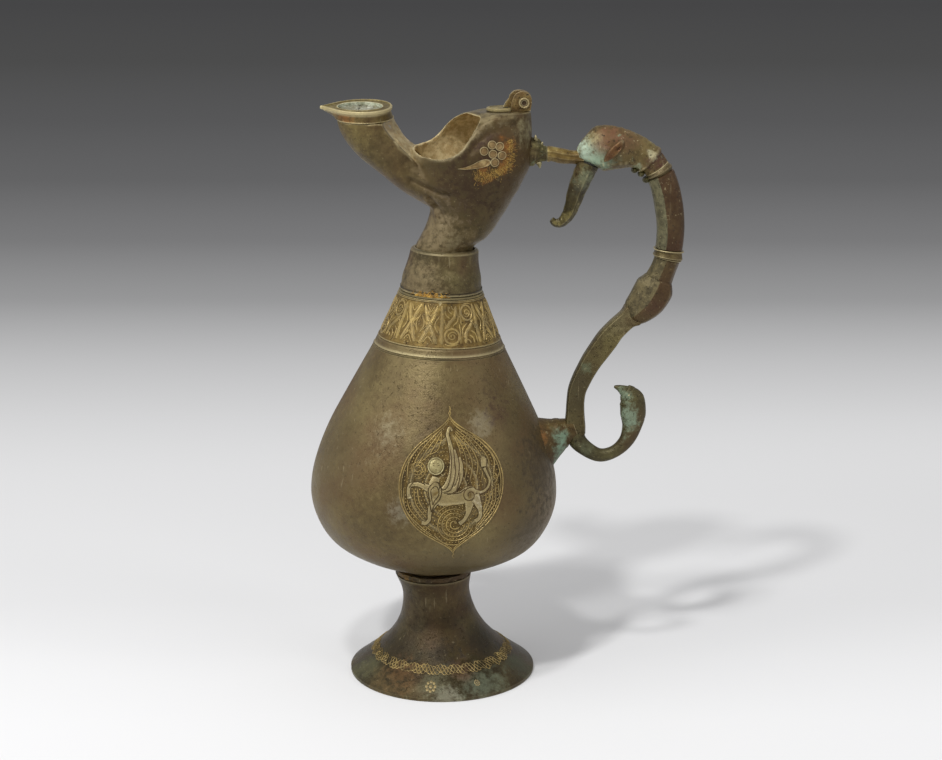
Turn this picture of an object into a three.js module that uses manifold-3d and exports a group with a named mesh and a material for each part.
// A cast copper-alloy pouring ewer: pear body on a trumpet foot, a hollow head shaped like an
// open oil lamp with a hinged lid, and a handle that ends in a trunked beast and a bird.
// Millimetres, +Z up. The spout points along -X and the handle along +X. Shapes are built
// round the centre of the foot, and the last lines move the origin below the centre of the whole.
import * as THREE from 'three';
import { mergeVertices } from 'three/addons/utils/BufferGeometryUtils.js';
import Module from 'manifold-3d';

const wasm = await Module();
wasm.setup();

// Fits
const gap = 0.3;
const cutOverrun = 6;
const weld = 1e-4;

// Foot: a trumpet, hollow from below
const footRadius = 60.2;
const footHeight = 66;
const footRim = 1.8;
const footWall = 2.4;
const stemShift = 5.6;
const stemBendShare = 1.8;
const stemSolderHeight = 3;
const stemSolderProud = 0.45;
const stemSolderDish = 1.4;
const footOuterShares = [
  [0.958, 0.06], [0.855, 0.132], [0.742, 0.208], [0.647, 0.282], [0.567, 0.356], [0.502, 0.43],
  [0.451, 0.505], [0.415, 0.576], [0.388, 0.652], [0.37, 0.727], [0.362, 0.803], [0.37, 0.879],
  [0.408, 1],
];

// Pear body: belly below the seam, shoulder above it
const bodyShift = 1.5;
const bodyLean = THREE.MathUtils.degToRad(2.25);
const bodyRadius = 78.9;
const bodyWall = 2.2;
const shoulderHeight = 183;
const bandWidth = 28;
const seamDrop = 6.5;
const seamWidth = 1.2;
const seamProud = 0.4;
const bandDepth = 1;
const bandThickness = 0.9;
const bodyOuterShares = [
  [0.253, 0], [0.33, 0.022], [0.47, 0.041], [0.635, 0.068], [0.837, 0.122], [0.943, 0.188],
  [0.998, 0.264], [0.995, 0.341], [0.949, 0.428], [0.864, 0.527], [0.74, 0.636], [0.61, 0.745],
  [0.531, 0.811],
];
const shoulderTopShare = 0.342;

// Medallion set into each side of the belly
const medallionX = 11;
const medallionTurn = THREE.MathUtils.degToRad(3.5);
const medallionHeightShare = 0.421;
const medallionHalfWidth = 32;
const medallionHalfHeight = 46;
const inlayDepth = 0.8;
const inlayThickness = 0.5;
// A quarter of its outline, from the upper point to the side: a start and two bezier curves
const medallionShares = [
  [0, 1], [0.06, 0.84], [0.3, 0.8], [0.62, 0.6], [0.86, 0.44], [1, 0.24], [1, 0],
];

// Collar sleeve over the joint of body and neck
const collarSolderHeight = 1.2;
const collarSolderInset = 0.4;
const collarHeight = 26.8;
const collarInset = 1.1;
const collarWall = 2.7;
const collarTopWall = 1.2;
const collarTopShift = 1.5;
const collarBendShare = 2;
const neckSlack = 2.2;
const collarShares = [[0.95, 0.12], [0.76, 0.3], [0.45, 0.52], [0.16, 0.74]];

// Head: neck and reservoir as level ovals, above the level where the collar ends
const headLift = 0.2;
const headHeight = 85.3;
const neckShift = -0.5;
const headBack = 54.4;
const headHalfWidth = 29.5;
const headWall = 1.9;
const neckRadius = 17.8;
const neckInCollar = 22;
const neckFlare = 0.2;
// Height, left edge, right edge and half width, as shares of height, back and half width
const headShares = [
  [0.08, -0.275, 0.495, 0.68], [0.147, -0.222, 0.58, 0.71],
  [0.22, -0.18, 0.65, 0.76], [0.29, -0.16, 0.72, 0.8], [0.365, -0.22, 0.785, 0.85],
  [0.435, -0.3, 0.855, 0.9], [0.507, -0.36, 0.91, 0.95], [0.58, -0.38, 0.97, 0.985],
  [0.65, -0.38, 0.997, 1], [0.72, -0.37, 1, 1], [0.79, -0.33, 1, 0.975],
  [0.86, -0.22, 1, 0.92], [0.93, 0.02, 0.995, 0.82], [0.97, 0.17, 0.99, 0.74],
  [1, 0.36, 0.985, 0.62],
];

// Nozzle: a bent tube from the reservoir up to the mouth
const nozzleReach = 53;
const nozzleRise = 47;
const nozzleHalf = 14;
// Reach, rise, half height and half width, as shares, from the reservoir to the mouth
const nozzleShares = [
  [-0.17, -0.01, 0.94, 1.72], [0.045, 0.105, 0.91, 1.57], [0.31, 0.285, 0.94, 1.29],
  [0.535, 0.515, 1.01, 1.16], [0.752, 0.765, 1.145, 1.16], [0.862, 0.985, 1.25, 1.19],
  [0.885, 1.16, 1.26, 1.2],
];
const nozzleShift = 2.2;
const nozzleStartShare = 0.39;

// Mouth: a flared collar and a leaf-shaped rim, tipped towards the near side
const mouthReachShare = 0.883;
const mouthRiseShare = 1.01;
const mouthTip = THREE.MathUtils.degToRad(6.5);
const mouthCollarHeight = 5.2;
const mouthFlareShare = 1.1;
const mouthWall = 2;
const rimThickness = 2.2;
const rimTipLength = 9.6;
const rimHeelInset = 0.3;
const rimSideLip = 1.7;
const mouthHoleShift = 2.6;
const mouthHoleEndLip = 4;
const mouthHoleSideLip = 5.3;
// Half of the rim's outline, from its tip to its heel: a start and two bezier curves
const rimShares = [[-1, 0], [-0.8, -0.22], [-0.55, -1], [0, -1], [0.6, -1], [1, -0.55], [1, 0]];

// Saddle opening, cut through the top of the head along a slanted direction
const saddleLeanShare = -0.23;
const saddleTipShare = 0.15;
const saddleXShare = -0.4265;
const saddleLength = 45;
const saddleDepth = 27;
const saddleProud = 3;
const saddleShares = [
  [0, 0.55], [0.06, 0.33], [0.13, 0.165], [0.245, 0.045], [0.355, 0.015], [0.465, 0.075],
  [0.58, 0.25], [0.665, 0.415], [0.755, 0.56], [0.865, 0.71], [0.955, 0.82], [1, 1],
];

// Eye inlay: six discs and a leaf on each side of the reservoir
const eyeXShare = 0.5515;
const eyeLevelShare = 0.73;
const eyeSpacing = 5.7;
const eyeDiscRadius = 2.95;
const eyeDiscShares = [[0, 0], [-0.96, 0.35], [-0.09, 1], [0.74, 0.81], [1, -0.19], [0.21, -0.93]];
const eyeLeafShares = [
  [0, -0.18], [-1.2, -0.25], [-2.45, -1.05], [-3.9, -1.68], [-2.3, -1.6], [-1.05, -1.4], [0, -0.9],
];

// Lid and hinge on the flat top of the reservoir
const hingeXShare = 0.908;
const hingeRise = 5.3;
const lidThickness = 2;
const lidReach = 23.2;
const lidHalfWidth = 10.5;
const thumbReach = 13.1;
const knuckleWidth = 5;
const lugWidth = 2.2;
const finialHalf = 8;
const pinRadius = 1.3;
const pinHeadRadius = 2.1;
const pinHeadWidth = 0.8;
const fillHoleHalfLength = 8;
const fillHoleHalfWidth = 6.5;
const fillHoleXShare = 0.658;
// Half of the lid's outline, from its back corner to its front: a start and a bezier curve
const lidBackShare = 0.7;
const lidShares = [[-0.55, -1.15], [-1, -0.95], [-1, 0]];
const thumbShares = [
  [-1.22, 0.34], [-1, 0.78], [-0.56, 0.99], [-0.12, 0.95], [0.32, 0.73], [0.6, 0.12],
];
const lugShares = [
  [-0.93, 0.12], [-0.65, 0.7], [-0.2, 0.9], [0.19, 0.8], [0.52, 0.5], [0.6, 0.06],
];
const thumbFootShares = [[0.8, -0.48], [0.56, -0.75], [0, -0.943]];
const lugFrontShare = -0.95;
const lugBackShare = 0.5;

// Handle: one path from the beast's muzzle to the bird's beak
const handleStand = 13.2;
const hubShare = 0.494;
const handleReach = 60;
const muzzleDrop = 0.45;
const gripRadius = 8.4;
// Reach, rise, half thickness in the plane and across it, as shares
const handleShares = [
  [0.01, 0.945, 0.45, 0.5], [0.118, 0.957, 1.1, 1], [0.252, 0.966, 1.7, 1.25],
  [0.427, 0.965, 1.54, 1.28], [0.59, 0.956, 1.26, 1.15], [0.727, 0.932, 1.1, 1.05],
  [0.829, 0.897, 1.02, 1], [0.904, 0.846, 1.02, 1], [0.955, 0.778, 1.03, 1],
  [0.98, 0.712, 1, 1], [0.977, 0.662, 0.98, 1], [0.967, 0.632, 0.97, 0.98],
  [0.953, 0.6, 0.96, 0.96], [0.922, 0.571, 0.95, 0.93], [0.87, 0.531, 1.04, 1],
  [0.825, 0.499, 1.32, 1.15], [0.752, 0.46, 1.27, 1.15], [0.642, 0.423, 1.06, 1],
  [0.532, 0.393, 0.7, 0.7],
  [0.415, 0.357, 0.73, 0.68], [0.332, 0.323, 0.8, 0.66], [0.255, 0.288, 0.78, 0.64],
  [0.182, 0.254, 0.74, 0.63], [0.12, 0.219, 0.7, 0.62], [0.068, 0.185, 0.68, 0.62],
  [0.028, 0.151, 0.65, 0.62], [0.013, 0.116, 0.64, 0.62], [0.01, 0.074, 0.67, 0.63],
  [0.012, 0.028, 0.74, 0.66], [0.03, -0.02, 0.7, 0.62], [0.127, -0.053, 0.6, 0.55],
  [0.283, -0.077, 0.52, 0.5], [0.433, -0.065, 0.48, 0.48], [0.558, -0.028, 0.56, 0.5],
  [0.618, 0.022, 0.74, 0.56], [0.629, 0.074, 0.98, 0.72], [0.612, 0.116, 0.97, 0.72],
  [0.56, 0.14, 0.68, 0.56], [0.485, 0.156, 0.33, 0.36], [0.42, 0.163, 0.1, 0.14],
];
// Beast's trunk, ears and the beads under its neck
const trunkShares = [
  [0.115, 0.915, 0.81, 0.72], [0.055, 0.87, 0.74, 0.68], [-0.005, 0.822, 0.66, 0.6],
  [-0.045, 0.779, 0.55, 0.5], [-0.092, 0.744, 0.46, 0.42], [-0.17, 0.72, 0.34, 0.33],
  [-0.25, 0.722, 0.15, 0.16],
];
const earReachShare = 0.363;
const earRiseShare = 0.963;
const earLength = 7.8;
const earHeight = 3.4;
const earSwell = 3.2;
const earSideShare = 1.143;
const earTurn = THREE.MathUtils.degToRad(48);
const beadRadius = 1.9;
const beadLift = 1.2;
const beadShares = [0.12, 0.14, 0.16];

// Strut between the head's back and the beast's muzzle
const strutLevelShare = 0.689;
const strutRootReach = 9.4;
const strutRootHalfHeight = 9.8;
const strutRootHalfWidth = 8;
// Along the root, lift, half height and half width, as shares
const strutRootShares = [
  [0, 0.13, 1, 1], [0.25, 0.1, 0.9, 0.9], [0.55, 0.04, 0.64, 0.66], [0.8, 0, 0.5, 0.54],
  [1, 0, 0.47, 0.52],
];
const strutRadius = 4.6;
const strutIntoMuzzle = 3.5;
const strutBite = 1.8;
// Along the strut, fall to the muzzle and radius, as shares
const strutShares = [
  [0, 0, 1.05], [0.12, 0, 1.03], [0.4, 0.58, 1], [0.7, 0.92, 0.94], [1, 1, 0.98],
];

// Root boss that carries the handle's foot on the belly
const bossLength = 29;
const bossStartRise = -10;
const bossEndRise = 3.7;
const bossStartRadius = 21;
const bossEndRadius = 5.8;

// Fineness of the round pieces
const roundSegments = 32;
const ovalSides = 24;
const nozzleSides = 16;
const nozzleSteps = 10;
const holeSides = 20;
const leafSegments = 4;
const rimSegments = 10;
const lidSegments = 8;
const discSegments = 6;
const rodSides = 12;
const trunkSteps = 12;
const strutSteps = 6;
const rootSteps = 8;
const bossSides = 16;
const bossSteps = 3;
const earSides = 12;
const earRings = 8;
const beadSides = 10;
const beadRings = 6;
const nudgeShare = 1e-3;

// Colours and surfaces
const patina = { color: 0x5d5340, roughness: 0.55, metalness: 0.75 };
const darkPatina = { color: 0x4a4336, roughness: 0.6, metalness: 0.7 };
const goldInlay = { color: 0x9a7a3c, roughness: 0.5, metalness: 0.85 };
const silverInlay = { color: 0x9c9688, roughness: 0.45, metalness: 0.85 };
const solder = { color: 0x8f7a42, roughness: 0.65, metalness: 0.6 };
const verdigris = { color: 0x6f8f7c, roughness: 0.85, metalness: 0.25 };
const redBrown = { color: 0x5f4233, roughness: 0.55, metalness: 0.6 };

// Pieces of the handle in order: the share of the path where each ends, and its rings
const handleParts = [
  { name: 'beast_head', endShare: 0.154, steps: 12, finish: verdigris },
  { name: 'neck_ring', endShare: 0.163, steps: 1, swellShare: 1.06, finish: verdigris },
  { name: 'grip', endShare: 0.282, steps: 10, finish: redBrown },
  { name: 'grip_ring', endShare: 0.308, steps: 2, swellShare: 1.09, finish: darkPatina },
  { name: 'grip_neck', endShare: 0.359, steps: 4, finish: darkPatina },
  { name: 'knuckle', endShare: 0.446, steps: 6, finish: patina },
  { name: 'strap', endShare: 0.733, steps: 18, finish: patina },
  { name: 'tail_curl', endShare: 0.887, steps: 12, finish: verdigris },
  { name: 'bird_head', endShare: 1, steps: 8, finish: darkPatina },
];

const ewer = new THREE.Group();

function addPiece(name, geometry, finish, parent = ewer) {
  const mesh = new THREE.Mesh(geometry, new THREE.MeshStandardMaterial(finish));
  mesh.name = name;
  parent.add(mesh);
  return mesh;
}

function toSolid(geometry) {
  const bare = geometry.clone();
  bare.deleteAttribute('normal');
  bare.deleteAttribute('uv');
  const merged = mergeVertices(bare.index ? bare.toNonIndexed() : bare, weld);
  return new wasm.Manifold(new wasm.Mesh({
    numProp: 3,
    vertProperties: new Float32Array(merged.attributes.position.array),
    triVerts: new Uint32Array(merged.index.array),
  }));
}

function toGeometry(solid) {
  const mesh = solid.getMesh();
  const geometry = new THREE.BufferGeometry();
  geometry.setAttribute('position', new THREE.BufferAttribute(mesh.vertProperties, 3));
  geometry.setIndex(new THREE.BufferAttribute(mesh.triVerts, 1));
  geometry.computeVertexNormals();
  return geometry;
}

function cut(base, ...tools) {
  return toGeometry(tools.reduce((left, tool) => left.subtract(toSolid(tool)), toSolid(base)));
}

function join(first, ...others) {
  return toGeometry(others.reduce((sum, other) => sum.add(toSolid(other)), toSolid(first)));
}

function common(first, second) {
  return toGeometry(toSolid(first).intersect(toSolid(second)));
}

function mirrored(geometry) {
  return toGeometry(toSolid(geometry).mirror([0, 1, 0]));
}

// Turns a closed loop of [radius, height] round the vertical axis
function turned(profile, segments = roundSegments) {
  const loop = [...profile, profile[0]].map(([radius, height]) => new THREE.Vector2(radius, height));
  return new THREE.LatheGeometry(loop, segments).rotateX(Math.PI / 2);
}

// Moves an open [radius, height] line inwards by a wall
function inset(line, wall) {
  return line.map(([radius, height], i) => {
    const [r0, h0] = line[Math.max(i - 1, 0)];
    const [r1, h1] = line[Math.min(i + 1, line.length - 1)];
    const length = Math.hypot(r1 - r0, h1 - h0);
    return [radius - (wall * (h1 - h0)) / length, height + (wall * (r1 - r0)) / length];
  });
}

// Radius of an open [radius, height] line at a height
function radiusAt(line, height) {
  const i = Math.min(Math.max(line.findIndex((point) => point[1] >= height), 1), line.length - 1);
  const [r0, h0] = line[i - 1];
  const [r1, h1] = line[i];
  return r0 + ((r1 - r0) * (height - h0)) / (h1 - h0);
}

// Skins a row of equal rings, anticlockwise about the direction of travel, and caps both ends
function loft(rings) {
  const sides = rings[0].length;
  const ends = [rings[0], rings[rings.length - 1]];
  const centres = ends.map((ring) => ring
    .reduce((sum, point) => sum.add(point), new THREE.Vector3())
    .divideScalar(sides));
  const points = [...rings.flat(), ...centres];
  const firstCentre = rings.length * sides;
  const lastCentre = points.length - 1;
  const index = [];
  for (let j = 0; j < sides; j += 1) {
    const k = (j + 1) % sides;
    for (let i = 0; i < rings.length - 1; i += 1) {
      const a = i * sides;
      const b = a + sides;
      index.push(a + j, a + k, b + k, a + j, b + k, b + j);
    }
    const last = (rings.length - 1) * sides;
    index.push(firstCentre, k, j, lastCentre, last + j, last + k);
  }
  const geometry = new THREE.BufferGeometry().setFromPoints(points);
  geometry.setIndex(index);
  geometry.computeVertexNormals();
  return geometry;
}

// Centre, outward direction in the XZ plane and half sizes at a share of a path's rows
function placeOn(rows, share) {
  const path = new THREE.CatmullRomCurve3(rows.map(([x, z]) => new THREE.Vector3(x, 0, z)));
  const sizes = new THREE.CatmullRomCurve3(rows.map((row) => new THREE.Vector3(row[2], row[3], 0)));
  const along = path.getTangent(share);
  const size = sizes.getPoint(share);
  return {
    centre: path.getPoint(share),
    outward: new THREE.Vector3(-along.z, 0, along.x),
    halfInPlane: size.x,
    halfAcross: size.y,
  };
}

// Share of a path's rows that a length covers at a place
function shareOf(rows, length, share) {
  const back = share + nudgeShare > 1;
  const other = back ? share - nudgeShare : share + nudgeShare;
  const step = placeOn(rows, share).centre.distanceTo(placeOn(rows, other).centre);
  return (length * nudgeShare) / step;
}

// Sweeps an oval along a path in the XZ plane: rows of [x, z, half in the plane, half across].
// Trims shorten it by a length at each end, and grow thickens it all round.
function sweep(rows, options) {
  const { startShare = 0, endShare = 1, startTrim = 0, endTrim = 0 } = options;
  const { steps, sides = rodSides, swellShare = 1, grow = 0 } = options;
  const start = startShare + shareOf(rows, startTrim, startShare);
  const end = endShare - shareOf(rows, endTrim, endShare);
  const rings = [];
  for (let i = 0; i <= steps; i += 1) {
    const place = placeOn(rows, start + ((end - start) * i) / steps);
    const ring = [];
    for (let j = 0; j < sides; j += 1) {
      const angle = (2 * Math.PI * j) / sides;
      const across = -Math.sin(angle) * (place.halfAcross * swellShare + grow);
      ring.push(place.centre.clone()
        .addScaledVector(place.outward, Math.cos(angle) * (place.halfInPlane * swellShare + grow))
        .add(new THREE.Vector3(0, across, 0)));
    }
    rings.push(ring);
  }
  return loft(rings);
}

// Extrudes an outline drawn in X and Z across the width, from one Y to another
function slab(shape, nearY, farY, curveSegments = discSegments) {
  const settings = { depth: farY - nearY, bevelEnabled: false, curveSegments };
  return new THREE.ExtrudeGeometry(shape, settings).rotateX(Math.PI / 2).translate(0, farY, 0);
}

function outline(points) {
  return new THREE.Shape(points.map(([x, y]) => new THREE.Vector2(x, y)));
}

// Draws an outline from a start and the points of its bezier curves
function curved(points) {
  const shape = new THREE.Shape();
  shape.moveTo(...points[0]);
  for (let i = 1; i < points.length; i += 3) {
    shape.bezierCurveTo(...points[i], ...points[i + 1], ...points[i + 2]);
  }
  return shape;
}

// Carries a line on with its own mirror image, back to front
function doubled(line, flipX, flipY) {
  const image = line.slice(0, -1).reverse().map(([x, y]) => [x * flipX, y * flipY]);
  return [...line, ...image];
}

// Moves each corner of a closed anticlockwise outline outwards
function grown(points, distance) {
  return points.map(([x, y], i) => {
    const [x0, y0] = points[(i + points.length - 1) % points.length];
    const [x1, y1] = points[(i + 1) % points.length];
    const before = new THREE.Vector2(y - y0, x0 - x).normalize();
    const after = new THREE.Vector2(y1 - y, x - x1).normalize();
    const corner = before.clone().add(after).multiplyScalar(distance / (1 + before.dot(after)));
    return [x + corner.x, y + corner.y];
  });
}

// Foot and the solder ring on its top
const footOuter = footOuterShares.map(([r, h]) => [r * footRadius, h * footHeight]);
const footTopRadius = footOuter[footOuter.length - 1][0];
const footInner = inset([[footRadius, footRim], ...footOuter], footWall);
footInner[0] = [footRadius - footWall, 0];
footInner[footInner.length - 1][1] = footHeight;
const foot = turned([[footRadius, 0], [footRadius, footRim], ...footOuter, ...footInner.reverse()]);
const footPlaces = foot.attributes.position;
for (let i = 0; i < footPlaces.count; i += 1) {
  const heightShare = Math.max(footPlaces.getZ(i) / footHeight, 0);
  footPlaces.setX(i, footPlaces.getX(i) - stemShift * heightShare ** stemBendShare);
}
addPiece('foot', foot, patina);

const bodyBase = footHeight + 2 * gap + stemSolderHeight;
const bodyX = -stemShift - bodyShift;
const body = new THREE.Group();
body.position.set(bodyX, 0, bodyBase);
body.rotation.y = bodyLean;
ewer.add(body);
body.updateMatrix();

// Belly and shoulder, in the frame of the leaning body
const bandBottomHeight = shoulderHeight - bandWidth;
const seamHeight = bandBottomHeight - seamDrop;
const seamTop = seamHeight + seamWidth;
const shoulderRadius = shoulderTopShare * bodyRadius;
const bodyOuter = bodyOuterShares.map(([r, h]) => [r * bodyRadius, h * shoulderHeight]);
const wholeOuter = [...bodyOuter, [shoulderRadius, shoulderHeight]];
const stemSolderTop = bodyBase + stemSolderDish;

function bodySolid(grow) {
  const line = inset(wholeOuter, -grow);
  const top = line[line.length - 1][1];
  return turned([[0, -grow], [line[0][0], -grow], ...line.slice(1), [0, top]]);
}

const seamRadius = radiusAt(wholeOuter, seamHeight);
const bellyOuter = [...bodyOuter.filter(([, h]) => h < seamHeight), [seamRadius, seamHeight]];
const bellyInner = inset(bellyOuter, bodyWall);
bellyInner[0] = [bellyInner[0][0], bodyWall];
bellyInner[bellyInner.length - 1][1] = seamHeight;
const belly = turned([[0, 0], ...bellyOuter, ...bellyInner.reverse(), [0, bodyWall]]);

function medallionSlab(grow) {
  const quarter = medallionShares.map(([x, z]) => [
    x * (medallionHalfWidth + grow),
    z * (medallionHalfHeight + grow),
  ]);
  const leaf = curved(doubled(doubled(quarter, 1, -1), -1, 1));
  return slab(leaf, -bodyRadius - cutOverrun, 0, leafSegments)
    .rotateY(-medallionTurn)
    .translate(medallionX, 0, medallionHeightShare * shoulderHeight);
}

const bodyGrown = bodySolid(gap).applyMatrix4(body.matrix);
const stemSolderRadius = footTopRadius + stemSolderProud;
const stemSolderBase = footHeight + gap;
const stemSolder = turned([
  [0, stemSolderBase],
  [stemSolderRadius, stemSolderBase],
  [stemSolderRadius, stemSolderTop],
  [0, stemSolderTop],
]).translate(-stemShift, 0, 0);
addPiece('stem_solder', cut(stemSolder, bodyGrown), solder);

const nearRecess = cut(medallionSlab(gap), bodySolid(-inlayDepth));
const nearMedallion = cut(common(bodySolid(0), medallionSlab(0)), bodySolid(-inlayThickness));
addPiece('belly_shell', cut(belly, nearRecess, mirrored(nearRecess)), patina, body);
addPiece('medallion_near', nearMedallion, goldInlay, body);
addPiece('medallion_far', mirrored(nearMedallion), goldInlay, body);

addPiece('shoulder_seam', turned([
  [seamRadius - bodyWall, seamHeight + gap],
  [seamRadius + seamProud, seamHeight + gap],
  [radiusAt(wholeOuter, seamTop) + seamProud, seamTop],
  [radiusAt(wholeOuter, seamTop) - bodyWall, seamTop],
]), solder, body);

const shoulderStart = seamTop + gap;
const shoulderStartRadius = radiusAt(wholeOuter, shoulderStart);
const bandStep = bandBottomHeight - gap;
const bandStepRadius = radiusAt(wholeOuter, bandStep);
addPiece('shoulder_shell', turned([
  [shoulderStartRadius - bodyWall, shoulderStart],
  [shoulderStartRadius, shoulderStart],
  [bandStepRadius, bandStep],
  [bandStepRadius - bandDepth, bandStep],
  [shoulderRadius - bandDepth, shoulderHeight],
  [shoulderRadius - bandDepth - bodyWall, shoulderHeight],
  [bandStepRadius - bandDepth - bodyWall, bandStep],
]), patina, body);

const bandBottomBore = radiusAt(wholeOuter, bandBottomHeight) - bandDepth + gap;
const bandTopBore = shoulderRadius - bandDepth + gap;
addPiece('relief_band', turned([
  [bandBottomBore, bandBottomHeight],
  [bandBottomBore + bandThickness, bandBottomHeight],
  [bandTopBore + bandThickness, shoulderHeight],
  [bandTopBore, shoulderHeight],
]), goldInlay, body);

// Collar sleeve, standing on a line of solder on the shoulder's edge
const collarRadius = shoulderRadius - collarInset;
const collarBottomBore = collarRadius - collarWall;
const collarTopBore = neckRadius + neckSlack;
const collarTopRadius = collarTopBore + collarTopWall;
const collarSolderRadius = shoulderRadius - collarSolderInset;
const collarSolderBase = shoulderHeight + gap;
const collarBase = collarSolderBase + collarSolderHeight + gap;
const collarTop = collarBase + collarHeight;
addPiece('collar_solder', turned([
  [collarBottomBore, collarSolderBase],
  [collarSolderRadius, collarSolderBase],
  [collarSolderRadius, collarSolderBase + collarSolderHeight],
  [collarBottomBore, collarSolderBase + collarSolderHeight],
]), solder, body);
const collar = turned([
  [collarBottomBore, collarBase],
  [collarRadius, collarBase],
  ...collarShares.map(([r, h]) => [
    collarTopRadius + (collarRadius - collarTopRadius) * r,
    collarBase + collarHeight * h,
  ]),
  [collarTopRadius, collarTop],
  [collarTopBore, collarTop],
]);
const collarPlaces = collar.attributes.position;
for (let i = 0; i < collarPlaces.count; i += 1) {
  const heightShare = (collarPlaces.getZ(i) - collarBase) / collarHeight;
  collarPlaces.setX(i, collarPlaces.getX(i) + collarTopShift * heightShare ** collarBendShare);
}
addPiece('neck_collar', collar, darkPatina, body);

// Head: outer and inner forms, grown or shrunk by a distance. The neck rises out of the collar.
const collarTopPlace = new THREE.Vector3(collarTopShift, 0, collarTop).applyMatrix4(body.matrix);
const headNeckX = collarTopPlace.x + neckShift;
const headLevel = collarTopPlace.z + headLift;
const headTop = headLevel + headHeight;

function levelOval(left, right, halfWidth, height) {
  const ring = [];
  for (let j = 0; j < ovalSides; j += 1) {
    const angle = (2 * Math.PI * j) / ovalSides;
    ring.push(new THREE.Vector3(
      (left + right) / 2 + ((right - left) / 2) * Math.cos(angle),
      halfWidth * Math.sin(angle),
      height,
    ));
  }
  return ring;
}

function neckOval(radius, height) {
  return levelOval(headNeckX - radius, headNeckX + radius, radius, height);
}

function reservoir(grow, bottom, top) {
  const rings = [
    neckOval(neckRadius + grow, headLevel - neckInCollar - bottom),
    neckOval(neckRadius + neckFlare + grow, headLevel),
  ];
  for (const [h, left, right, width] of headShares) {
    rings.push(levelOval(
      headNeckX + left * headBack - grow,
      headNeckX + right * headBack + grow,
      width * headHalfWidth + grow,
      headLevel + h * headHeight + (h === 1 ? top : 0),
    ));
  }
  return loft(rings);
}

const nozzleX = headNeckX - nozzleShift;
const nozzleStart = headLevel + nozzleStartShare * headHeight;

function nozzle(grow) {
  const rows = nozzleShares.map(([reach, rise, high, wide]) => [
    nozzleX - reach * nozzleReach,
    nozzleStart + rise * nozzleRise,
    high * nozzleHalf,
    wide * nozzleHalf,
  ]);
  return sweep(rows, { steps: nozzleSteps, sides: nozzleSides, grow });
}

// The mouth sits on the cut end of the nozzle, which tips towards the near side
const mouthX = nozzleX - mouthReachShare * nozzleReach;
const mouthLevel = nozzleStart + mouthRiseShare * nozzleRise;
const [, , mouthLengthShare, mouthWidthShare] = nozzleShares[nozzleShares.length - 1];
const mouthHalfLength = mouthLengthShare * nozzleHalf;
const mouthHalfWidth = mouthWidthShare * nozzleHalf;
const rimTipReach = mouthHalfLength + rimTipLength;
const rimHeelReach = mouthHalfLength - rimHeelInset;
const rimHalfWidth = mouthHalfWidth + rimSideLip;

function atMouth(geometry) {
  return geometry.rotateX(mouthTip).translate(mouthX, 0, mouthLevel);
}

const mouthBlock = atMouth(new THREE.BoxGeometry(2 * rimTipReach, 2 * nozzleReach, 2 * nozzleReach)
  .translate(0, 0, nozzleReach));
const headOuter = cut(join(reservoir(0, 0, 0), nozzle(0)), mouthBlock);
const headInner = join(reservoir(-headWall, cutOverrun, -headWall), nozzle(-headWall));

// The saddle's outline runs on slanted lines across the head
const saddleX = headNeckX + saddleXShare * headBack;
const saddleBottom = headTop + saddleProud - saddleDepth;
const saddleTop = headTop + saddleProud + cutOverrun;
const saddleCut = slab(outline([
  ...saddleShares.map(([x, z]) => [saddleX + x * saddleLength, saddleBottom + z * saddleDepth]),
  [saddleX + saddleLength, saddleTop],
  [saddleX, saddleTop],
]), -headHalfWidth - cutOverrun, headHalfWidth + cutOverrun);
const saddlePlaces = saddleCut.attributes.position;
for (let i = 0; i < saddlePlaces.count; i += 1) {
  const across = saddlePlaces.getY(i);
  saddlePlaces.setX(i, saddlePlaces.getX(i) + saddleLeanShare * across);
  saddlePlaces.setZ(i, saddlePlaces.getZ(i) + saddleTipShare * across);
}

const fillHole = new THREE.CylinderGeometry(1, 1, 2 * cutOverrun, holeSides)
  .rotateX(Math.PI / 2)
  .scale(fillHoleHalfLength, fillHoleHalfWidth, 1)
  .translate(headNeckX + fillHoleXShare * headBack, 0, headTop);

function eyeSlab(grow) {
  const nearY = -headHalfWidth - cutOverrun;
  const centres = eyeDiscShares.map(([x, z]) => [x * eyeSpacing, z * eyeSpacing]);
  const leaf = eyeLeafShares.map(([x, z]) => [x * eyeSpacing, z * eyeSpacing]);
  const web = centres.slice(1).reverse();
  const plates = [leaf, web].map((points) => slab(outline(grown(points, grow)), nearY, 0));
  const discs = centres.map(([x, z]) => {
    const disc = new THREE.Shape().absarc(x, z, eyeDiscRadius + grow, 0, 2 * Math.PI);
    return slab(disc, nearY, 0);
  });
  const eyeX = headNeckX + eyeXShare * headBack;
  const eyeLevel = headLevel + eyeLevelShare * headHeight;
  return join(...plates, ...discs).translate(eyeX, 0, eyeLevel);
}

const eyeRecess = cut(eyeSlab(gap), reservoir(-inlayDepth, 0, 0));
const nearEye = cut(common(reservoir(0, 0, 0), eyeSlab(0)), reservoir(-inlayThickness, 0, 0));
addPiece('head_shell', cut(
  headOuter,
  headInner,
  saddleCut,
  fillHole,
  eyeRecess,
  mirrored(eyeRecess),
), patina);
addPiece('eye_inlay_near', nearEye, silverInlay);
addPiece('eye_inlay_far', mirrored(nearEye), silverInlay);

// Mouth collar and rim
function mouthOval(grow, flareShare, height) {
  const halfLength = (mouthHalfLength + grow) * flareShare;
  return levelOval(-halfLength, halfLength, (mouthHalfWidth + grow) * flareShare, height);
}

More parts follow.
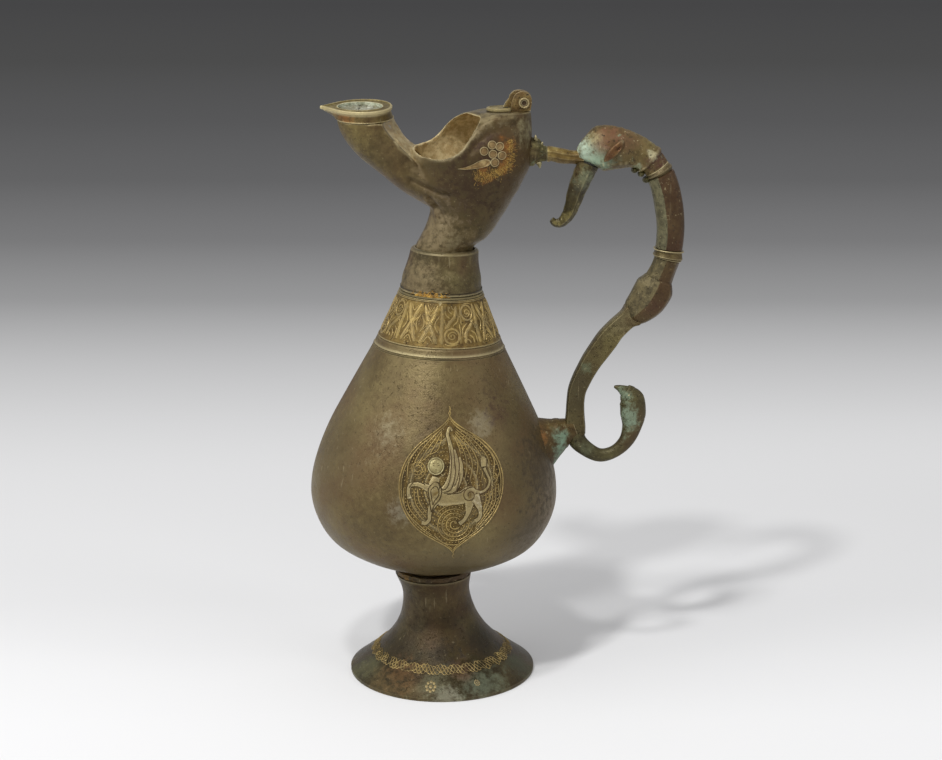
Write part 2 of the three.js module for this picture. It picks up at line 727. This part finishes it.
const mouthCollarTop = gap + mouthCollarHeight;
const mouthCollar = loft([
  mouthOval(0, 1, gap),
  mouthOval(0, mouthFlareShare, mouthCollarTop),
]);
const mouthBore = loft([
  mouthOval(-mouthWall, 1, gap - cutOverrun),
  mouthOval(-mouthWall, 1, mouthCollarTop + cutOverrun),
]);
addPiece('mouth_collar', atMouth(cut(mouthCollar, mouthBore)), patina);

const rimHalf = rimShares.map(([x, y]) => [
  x * (x < 0 ? rimTipReach : rimHeelReach),
  y * rimHalfWidth,
]);
const rimShape = curved(doubled(rimHalf, 1, -1));
rimShape.holes.push(new THREE.Path().absellipse(
  -mouthHoleShift,
  0,
  mouthHalfLength - mouthHoleEndLip,
  mouthHalfWidth - mouthHoleSideLip,
  0,
  2 * Math.PI,
));
const rimPlate = new THREE.ExtrudeGeometry(rimShape, {
  depth: rimThickness,
  bevelEnabled: false,
  curveSegments: rimSegments,
});
addPiece('mouth_rim', atMouth(rimPlate.translate(0, 0, mouthCollarTop + gap)), patina);

// Lid, turning on a pin across the back of the head's flat top
const lid = new THREE.Group();
lid.position.set(headNeckX + hingeXShare * headBack, 0, headTop + hingeRise);
ewer.add(lid);
const hinge = new THREE.Group();
hinge.position.copy(lid.position);
ewer.add(hinge);

const lidFloor = -hingeRise + gap;
const lidTop = lidFloor + lidThickness;
const lugFront = lugFrontShare * finialHalf;
const lidBack = lugFront - 2 * gap;
const lidHalf = [
  [lidBack, -lidBackShare * lidHalfWidth],
  ...lidShares.map(([x, y]) => [x * lidReach, y * lidHalfWidth]),
];
const lidPlate = new THREE.ExtrudeGeometry(curved(doubled(lidHalf, 1, -1)), {
  depth: lidThickness,
  bevelEnabled: false,
  curveSegments: lidSegments,
});
addPiece('lid_plate', lidPlate.translate(0, 0, lidFloor), patina, lid);

const boreRadius = pinRadius + gap;
const pinBore = new THREE.CylinderGeometry(boreRadius, boreRadius, 4 * finialHalf, rodSides);
const thumb = slab(outline([
  ...thumbFootShares.map(([x, z]) => [x * hingeRise, z * hingeRise]),
  [lidBack + gap, lidFloor],
  [lidBack + gap, lidTop + gap],
  [-thumbReach, lidTop + gap],
  ...thumbShares.map(([x, z]) => [x * finialHalf, z * finialHalf]),
]), -knuckleWidth / 2, knuckleWidth / 2);
addPiece('lid_thumb', cut(thumb, pinBore), redBrown, lid);

const lugInside = knuckleWidth / 2 + gap;
const lug = slab(outline([
  [lugBackShare * finialHalf, lidFloor],
  [lugFront, lidFloor],
  ...lugShares.map(([x, z]) => [x * finialHalf, z * finialHalf]),
]), -lugInside - lugWidth, -lugInside);
const nearLug = cut(lug, pinBore);
addPiece('hinge_lug_near', nearLug, patina, hinge);
addPiece('hinge_lug_far', mirrored(nearLug), patina, hinge);

const pinReach = lugInside + lugWidth + gap;
const pinEnd = pinReach + pinHeadWidth;
const pin = turned([
  [0, -pinEnd], [pinHeadRadius, -pinEnd], [pinHeadRadius, -pinReach], [pinRadius, -pinReach],
  [pinRadius, pinReach], [pinHeadRadius, pinReach], [pinHeadRadius, pinEnd], [0, pinEnd],
], rodSides);
addPiece('hinge_pin', pin.rotateX(Math.PI / 2), solder, hinge);

// Handle, from the boss on the belly up to the strut on the head
const strutLevel = headLevel + strutLevelShare * headHeight;
const hubX = bodyX + bodyRadius + handleStand;
const hubLevel = bodyBase + hubShare * shoulderHeight;
const handleRise = (strutLevel - muzzleDrop - hubLevel) / handleShares[0][1];

function placed(rows) {
  return rows.map(([reach, rise, high, wide]) => [
    hubX + reach * handleReach,
    hubLevel + rise * handleRise,
    high * gripRadius,
    wide * gripRadius,
  ]);
}

const handleRows = placed(handleShares);

// A piece of the handle, with a joint gap at its ends, or grown all round to cut its neighbours
function handlePiece(name, grow = 0) {
  const i = handleParts.findIndex((part) => part.name === name);
  const { endShare, steps, swellShare } = handleParts[i];
  const startShare = i === 0 ? 0 : handleParts[i - 1].endShare;
  const trim = grow > 0 ? -grow : gap / 2;
  return sweep(handleRows, {
    startShare,
    endShare,
    startTrim: i === 0 ? 0 : trim,
    endTrim: i === handleParts.length - 1 ? 0 : trim,
    steps,
    swellShare,
    grow,
  });
}

const [muzzleX, muzzleLevel] = handleRows[0];
const strutStart = headNeckX + headBack;
const strutRodStart = strutStart + strutRootReach + gap;
const strutEnd = muzzleX + strutIntoMuzzle;
const strutFall = strutLevel - muzzleLevel + strutBite;
const strutRows = strutShares.map(([along, fall, size]) => [
  strutRodStart + along * (strutEnd - strutRodStart),
  strutLevel - fall * strutFall,
  size * strutRadius,
  size * strutRadius,
]);
const strutGrown = sweep(strutRows, { steps: strutSteps, grow: gap });
addPiece('strut_rod', sweep(strutRows, { steps: strutSteps }), darkPatina);

for (const { name, finish } of handleParts) {
  const piece = handlePiece(name);
  addPiece(name, name === 'beast_head' ? cut(piece, strutGrown) : piece, finish);
}

const beastGrown = handlePiece('beast_head', gap);
const trunk = sweep(placed(trunkShares), { steps: trunkSteps });
addPiece('beast_trunk', cut(trunk, beastGrown, strutGrown), darkPatina);

const nearEar = cut(new THREE.SphereGeometry(1, earSides, earRings)
  .scale(earLength, earSwell, earHeight)
  .rotateY(-earTurn)
  .translate(
    hubX + earReachShare * handleReach,
    -earSideShare * gripRadius,
    hubLevel + earRiseShare * handleRise,
  ), beastGrown);
addPiece('beast_ear_near', nearEar, redBrown);
addPiece('beast_ear_far', mirrored(nearEar), redBrown);

// Beads on the inside of the beast's neck
beadShares.forEach((share, i) => {
  const place = placeOn(handleRows, share);
  const centre = place.centre.addScaledVector(place.outward, -place.halfInPlane - beadLift);
  const bead = new THREE.SphereGeometry(beadRadius, beadSides, beadRings)
    .translate(centre.x, centre.y, centre.z);
  const neighbours = ['beast_head', 'neck_ring', 'grip'].map((name) => handlePiece(name, gap));
  addPiece(`neck_bead_${i + 1}`, cut(bead, ...neighbours), darkPatina);
});

// Root of the strut on the head's back, and the boss under the handle's foot
const rootRows = strutRootShares.map(([along, lift, high, wide]) => [
  strutStart + (along === 0 ? -cutOverrun : along * strutRootReach),
  strutLevel + lift * strutRootHalfHeight,
  high * strutRootHalfHeight,
  wide * strutRootHalfWidth,
]);
const strutRoot = sweep(rootRows, { steps: rootSteps });
addPiece('strut_root', cut(strutRoot, reservoir(gap, 0, 0)), patina);

const boss = sweep([
  [hubX - bossLength, hubLevel + bossStartRise, bossStartRadius, bossStartRadius],
  [hubX, hubLevel + bossEndRise, bossEndRadius, bossEndRadius],
], { steps: bossSteps, sides: bossSides });
const handleFoot = ['strap', 'tail_curl'].map((name) => handlePiece(name, gap));
addPiece('root_boss', cut(boss, bodyGrown, ...handleFoot), verdigris);

// Origin below the centre of the whole
const whole = new THREE.Box3().setFromObject(ewer, true);
const middle = whole.getCenter(new THREE.Vector3());
ewer.children.forEach((child) => child.position.sub(new THREE.Vector3(middle.x, middle.y, whole.min.z)));

export default ewer;
